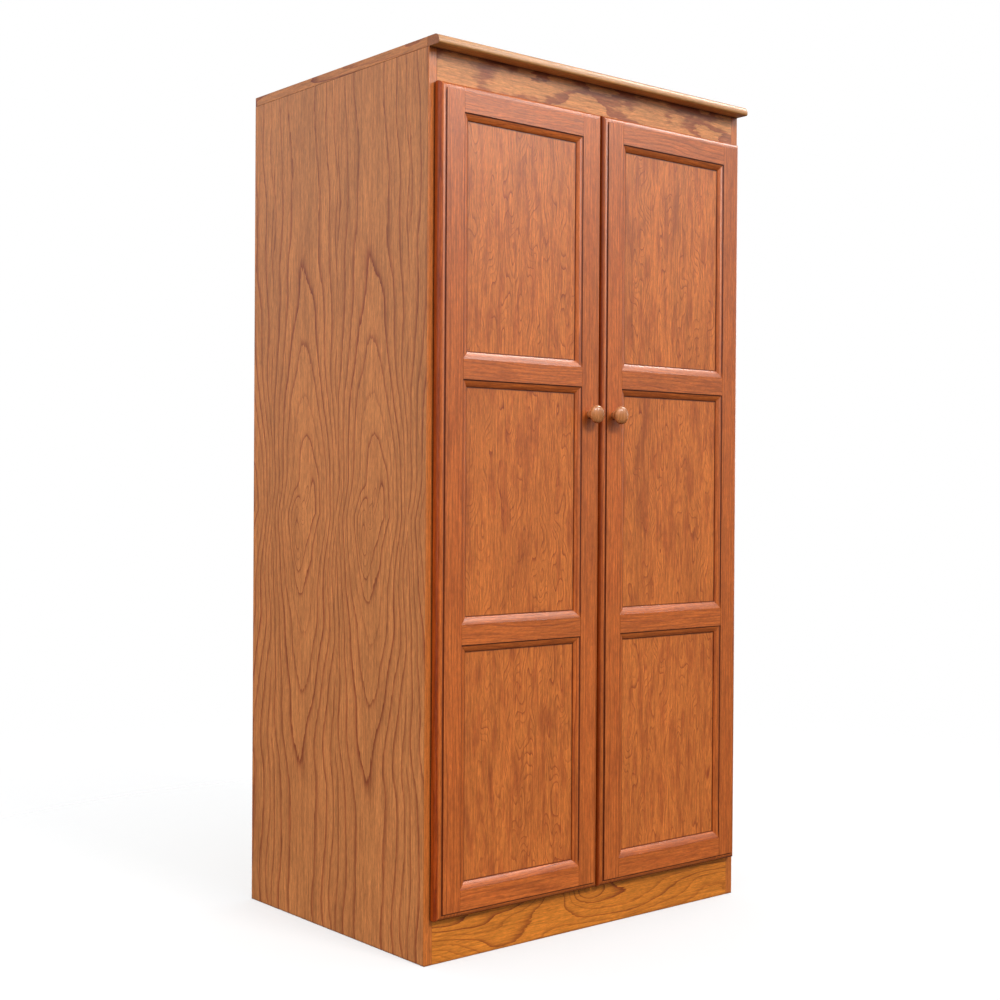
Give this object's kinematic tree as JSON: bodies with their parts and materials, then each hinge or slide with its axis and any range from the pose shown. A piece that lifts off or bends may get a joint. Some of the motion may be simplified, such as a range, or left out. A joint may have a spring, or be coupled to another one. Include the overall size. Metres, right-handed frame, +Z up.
{
  "type": "armoire",
  "caption": "Free-standing oak armoire with frame-and-panel hinged doors, turned knobs, hat shelf and hanging rod.",
  "frame": {"origin": "centre of the footprint at floor level", "axes": "+Z up along the height, front with the doors towards -Y, width along X"},
  "size_m": [0.902, 0.7074, 1.829],
  "materials": {
    "oak_veneer": "satin",
    "oak_trim": "satin",
    "oak_door": "satin",
    "oak_panel": "satin",
    "oak_knob": "satin",
    "oak_interior": "matte",
    "nickel": "satin",
    "zinc": "satin",
    "bumper": "matte"
  },
  "bodies": {
    "root": {"top_panel": "oak_veneer", "top_nosing": "oak_trim", "header_rail": "oak_trim", "base_rail": "oak_trim", "side_panel_left": "oak_veneer", "side_edging_left": "oak_trim", "side_panel_right": "oak_veneer", "side_edging_right": "oak_trim", "floor_panel": "oak_interior", "rear_base_rail": "oak_interior", "rear_top_rail": "oak_interior", "back_panel": "oak_interior", "hat_shelf": "oak_interior", "shelf_cleat_left": "oak_interior", "shelf_cleat_right": "oak_interior", "shelf_cleat_rear": "oak_interior", "hanging_rod": "oak_interior", "rod_socket_left": "zinc", "rod_socket_right": "zinc", "left_hinge_arm_top": "nickel", "left_hinge_arm_middle": "nickel", "left_hinge_arm_bottom": "nickel", "right_hinge_arm_top": "nickel", "right_hinge_arm_middle": "nickel", "right_hinge_arm_bottom": "nickel"},
    "left_door": {"left_door_hinge_stile": "oak_door", "left_door_meeting_stile": "oak_door", "left_door_top_rail": "oak_door", "left_door_upper_rail": "oak_door", "left_door_lower_rail": "oak_door", "left_door_bottom_rail": "oak_door", "left_door_upper_panel": "oak_panel", "left_door_middle_panel": "oak_panel", "left_door_lower_panel": "oak_panel", "left_knob": "oak_knob", "left_knob_screw": "zinc", "left_hinge_cup_top": "nickel", "left_hinge_cup_middle": "nickel", "left_hinge_cup_bottom": "nickel", "left_bumper_top": "bumper", "left_bumper_bottom": "bumper"},
    "right_door": {"right_door_hinge_stile": "oak_door", "right_door_meeting_stile": "oak_door", "right_door_top_rail": "oak_door", "right_door_upper_rail": "oak_door", "right_door_lower_rail": "oak_door", "right_door_bottom_rail": "oak_door", "right_door_upper_panel": "oak_panel", "right_door_middle_panel": "oak_panel", "right_door_lower_panel": "oak_panel", "right_knob": "oak_knob", "right_knob_screw": "zinc", "right_hinge_cup_top": "nickel", "right_hinge_cup_middle": "nickel", "right_hinge_cup_bottom": "nickel", "right_bumper_top": "bumper", "right_bumper_bottom": "bumper"}
  },
  "joints": [
    {"name": "left_door_hinge", "type": "hinge", "parent": "root", "child": "left_door", "pos_m": [-0.4308, -0.30895, 0.9155], "axis": [0, 0, -1], "range_deg": [0, 105]},
    {"name": "right_door_hinge", "type": "hinge", "parent": "root", "child": "right_door", "pos_m": [0.4308, -0.30895, 0.9155], "axis": [0, 0, 1], "range_deg": [0, 105]}
  ]
}
